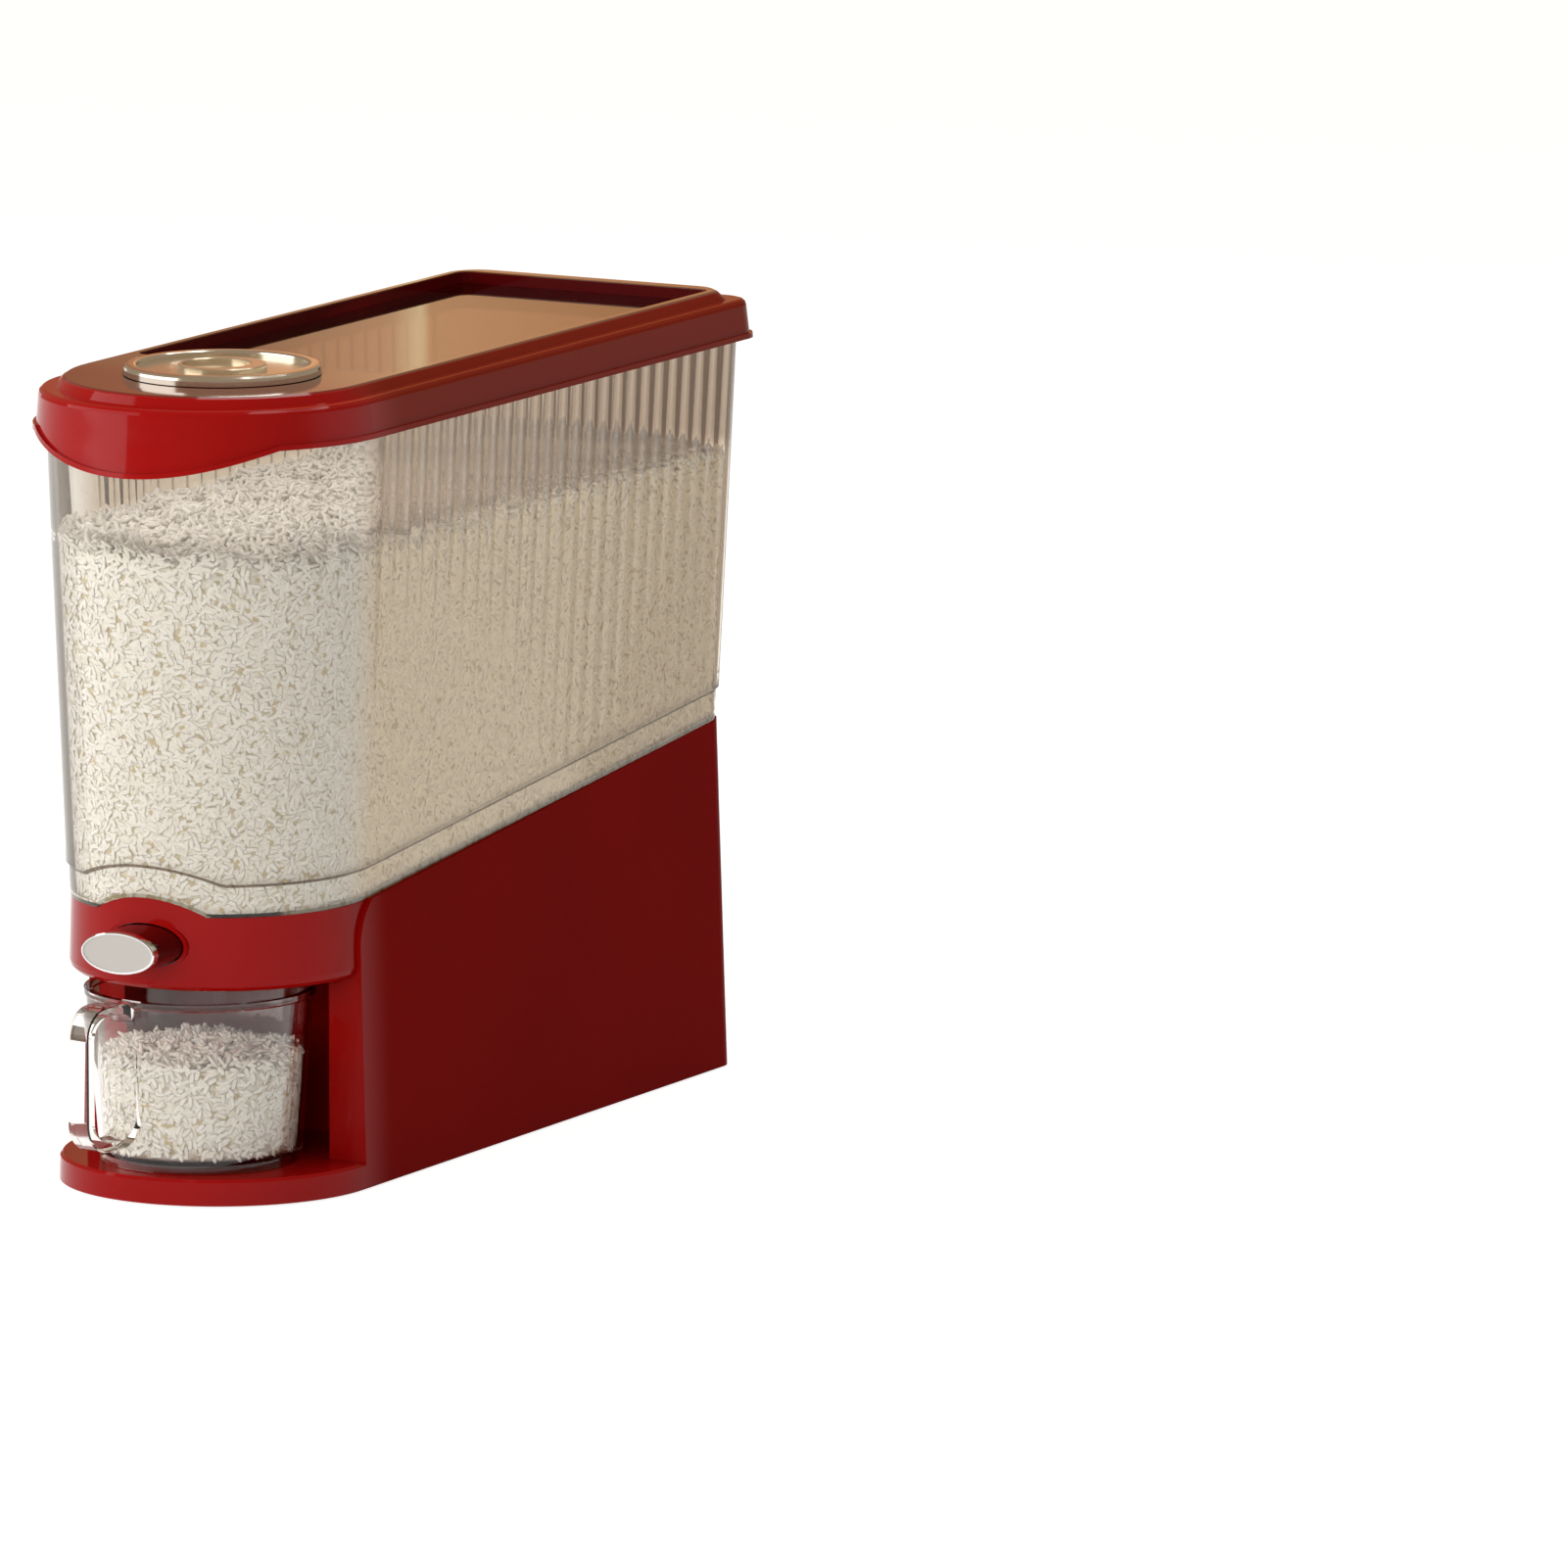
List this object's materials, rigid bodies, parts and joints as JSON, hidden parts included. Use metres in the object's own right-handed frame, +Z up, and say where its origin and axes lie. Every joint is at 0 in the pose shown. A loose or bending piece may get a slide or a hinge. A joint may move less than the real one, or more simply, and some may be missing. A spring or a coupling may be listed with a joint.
{
  "type": "rice dispenser",
  "caption": "Countertop grain dispenser: clear fluted hopper, framed lid with window and desiccant cap, push-button gate in a red base, loose measuring cup.",
  "frame": {"origin": "bottom centre of the whole object's box, on the table under the foot pads", "axes": "+Z up, +X to the right of someone looking at the front, -Y is the front (the round nose)"},
  "size_m": [0.156, 0.4369, 0.3507],
  "materials": {
    "red_shell": "deep red gloss, moulded",
    "clear_hopper": "clear moulded plastic with upright flutes",
    "clear_window": "clear flat pane",
    "clear_cup": "clear moulded plastic",
    "champagne_cap": "pale gold satin",
    "bright_trim": "bright plated plastic shell",
    "pale_face": "light grey gloss",
    "white_inner": "natural white moulding",
    "grey_cover": "light grey moulding",
    "seal_rubber": "translucent white silicone",
    "foot_rubber": "black, matt",
    "screw_steel": "zinc plated",
    "spring_steel": "drawn spring wire",
    "pack_fabric": "non-woven pouch"
  },
  "bodies": {
    "base": {"base_housing": "red_shell", "bottom_cover": "grey_cover", "cover_screws": "screw_steel", "foot_pad_1": "foot_rubber", "foot_pad_2": "foot_rubber", "foot_pad_3": "foot_rubber", "foot_pad_4": "foot_rubber", "discharge_chute": "white_inner", "gate_frame": "white_inner", "gate_frame_screws": "screw_steel", "return_spring_left": "spring_steel", "return_spring_right": "spring_steel"},
    "button": {"button_barrel": "bright_trim", "button_rim": "bright_trim", "button_face": "pale_face", "gate_slide": "white_inner"},
    "hopper_body": {"hopper": "clear_hopper", "outlet_gasket": "seal_rubber"},
    "lid": {"lid_frame": "red_shell", "lid_window": "clear_window", "window_gasket": "seal_rubber", "lid_gasket": "seal_rubber"},
    "cap": {"cap_ring": "champagne_cap", "cap_dish": "champagne_cap", "cap_grip": "champagne_cap", "cap_neck": "champagne_cap", "desiccant_basket": "white_inner", "desiccant_pack": "pack_fabric"},
    "cup": {"measuring_cup": "clear_cup"}
  },
  "joints": [
    {"name": "button_press", "type": "slide", "parent": "base", "child": "button", "axis": [0, 1, 0], "range_m": [0, 0.014], "stiffness_N_per_m": 300, "springref_m": -0.006, "deforming": ["return_spring_left", "return_spring_right"]},
    {"name": "hopper_lift", "type": "slide", "parent": "base", "child": "hopper_body", "axis": [0, 0, 1], "range_m": [0, 0.15]},
    {"name": "lid_lift", "type": "slide", "parent": "hopper_body", "child": "lid", "axis": [0, 0, 1], "range_m": [0, 0.12]},
    {"name": "cap_turn", "type": "hinge", "parent": "lid", "child": "cap", "pos_m": [0, -0.12022, 0.346], "axis": [0, 0, 1], "range_deg": [0, 45]},
    {"name": "cup_slide", "type": "slide", "parent": "base", "child": "cup", "axis": [0, -1, 0], "range_m": [0, 0.12]}
  ]
}
